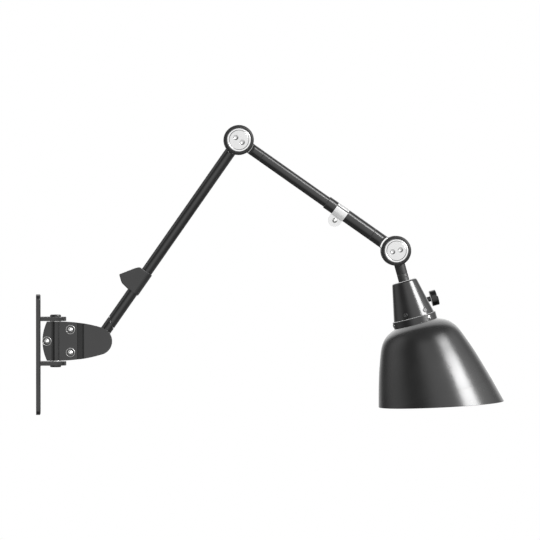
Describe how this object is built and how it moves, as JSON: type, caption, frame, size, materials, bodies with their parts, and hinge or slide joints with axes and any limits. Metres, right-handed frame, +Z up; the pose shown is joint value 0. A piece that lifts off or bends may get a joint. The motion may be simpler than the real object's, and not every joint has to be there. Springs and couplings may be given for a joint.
{
  "type": "articulating wall lamp",
  "caption": "Wall lamp with a swivelling hinge, a jointed two-piece arm, a rolling sleeve, a tilting bell shade and a rotary switch.",
  "frame": {"origin": "middle of the wall plate's back face, on the wall", "axes": "+Z up, +X away from the wall, arms in the plane Y = 0, bright joint caps and clamp screws towards -Y"},
  "size_m": [0.5944, 0.1558, 0.3667],
  "materials": {
    "black_paint": "satin powder coat",
    "cap_metal": "fine satin nickel",
    "band_metal": "polished",
    "screw_steel": "zinc plated",
    "washer_steel": "dull plated",
    "black_oxide": "semi gloss",
    "grip_plastic": "fine matte",
    "grommet_rubber": "matte",
    "pad_fibre": "matte",
    "holder_plastic": "glazed",
    "shell_aluminium": "rolled",
    "contact_brass": "plain",
    "switch_plastic": "gloss"
  },
  "bodies": {
    "wall": {"wall_plate": "black_paint", "hinge_lug_upper": "black_paint", "hinge_lug_lower": "black_paint", "swivel_pin": "black_oxide", "swivel_cap_nut": "black_oxide", "swivel_washers": "washer_steel"},
    "wing": {"wing_plate_front": "black_paint", "wing_plate_rear": "black_paint", "clamp_screws": "screw_steel", "clamp_washers": "washer_steel", "clamp_nuts": "screw_steel", "tilt_pin": "screw_steel", "friction_pads": "pad_fibre"},
    "lower_arm": {"lower_arm_root": "black_paint", "lower_arm_tube": "black_paint", "arm_grip": "grip_plastic", "grip_screw": "screw_steel", "cable_grommet": "grommet_rubber", "elbow_front_cup": "black_paint", "elbow_front_cap": "cap_metal"},
    "upper_arm": {"elbow_rear_cup": "black_paint", "elbow_rear_cap": "cap_metal", "elbow_bolt": "screw_steel", "elbow_springs": "washer_steel", "elbow_nut": "screw_steel", "elbow_friction_disc": "washer_steel", "upper_arm_tube": "black_paint"},
    "sleeve": {"upper_arm_sleeve": "black_paint", "clamp_band": "band_metal", "band_screw": "screw_steel", "band_nut": "screw_steel", "head_rear_cup": "black_paint", "head_rear_cap": "cap_metal", "head_bolt": "screw_steel", "head_springs": "washer_steel", "head_nut": "screw_steel", "head_friction_disc": "washer_steel"},
    "head": {"head_front_cup": "black_paint", "head_front_cap": "cap_metal", "neck_collar": "black_paint", "neck_set_screw": "screw_steel", "threaded_nipple": "screw_steel", "nipple_nut": "screw_steel", "lampholder_housing": "black_paint", "housing_screws": "black_oxide", "shade_flange": "black_paint", "flange_screws": "screw_steel", "shade": "black_paint", "lampholder_body": "holder_plastic", "socket_shell": "shell_aluminium", "centre_contact": "contact_brass", "switch_body": "switch_plastic"},
    "switch": {"switch_shaft": "screw_steel", "switch_knob": "switch_plastic"}
  },
  "joints": [
    {"name": "wall_swivel", "type": "hinge", "parent": "wall", "child": "wing", "pos_m": [0.0246, 0, 0.017], "axis": [0, 0, 1], "range_deg": [-85, 85]},
    {"name": "lower_arm_tilt", "type": "hinge", "parent": "wing", "child": "lower_arm", "pos_m": [0.0787, 0, 0.017], "axis": [0, -1, 0], "range_deg": [-85, 45]},
    {"name": "elbow", "type": "hinge", "parent": "lower_arm", "child": "upper_arm", "pos_m": [0.25664, 0, 0.2717], "axis": [0, -1, 0], "range_deg": [-20, 85]},
    {"name": "forearm_roll", "type": "hinge", "parent": "upper_arm", "child": "sleeve", "pos_m": [0.38624, 0, 0.18062], "axis": [0.8181, 0, -0.575], "range_deg": [-90, 90]},
    {"name": "head_tilt", "type": "hinge", "parent": "sleeve", "child": "head", "pos_m": [0.4566, 0, 0.13117], "axis": [0, -1, 0], "range_deg": [-75, 100]},
    {"name": "switch_turn", "type": "hinge", "parent": "head", "child": "switch", "pos_m": [0.49948, 0, 0.06964], "axis": [0.9641, 0, 0.2656], "continuous": true}
  ]
}
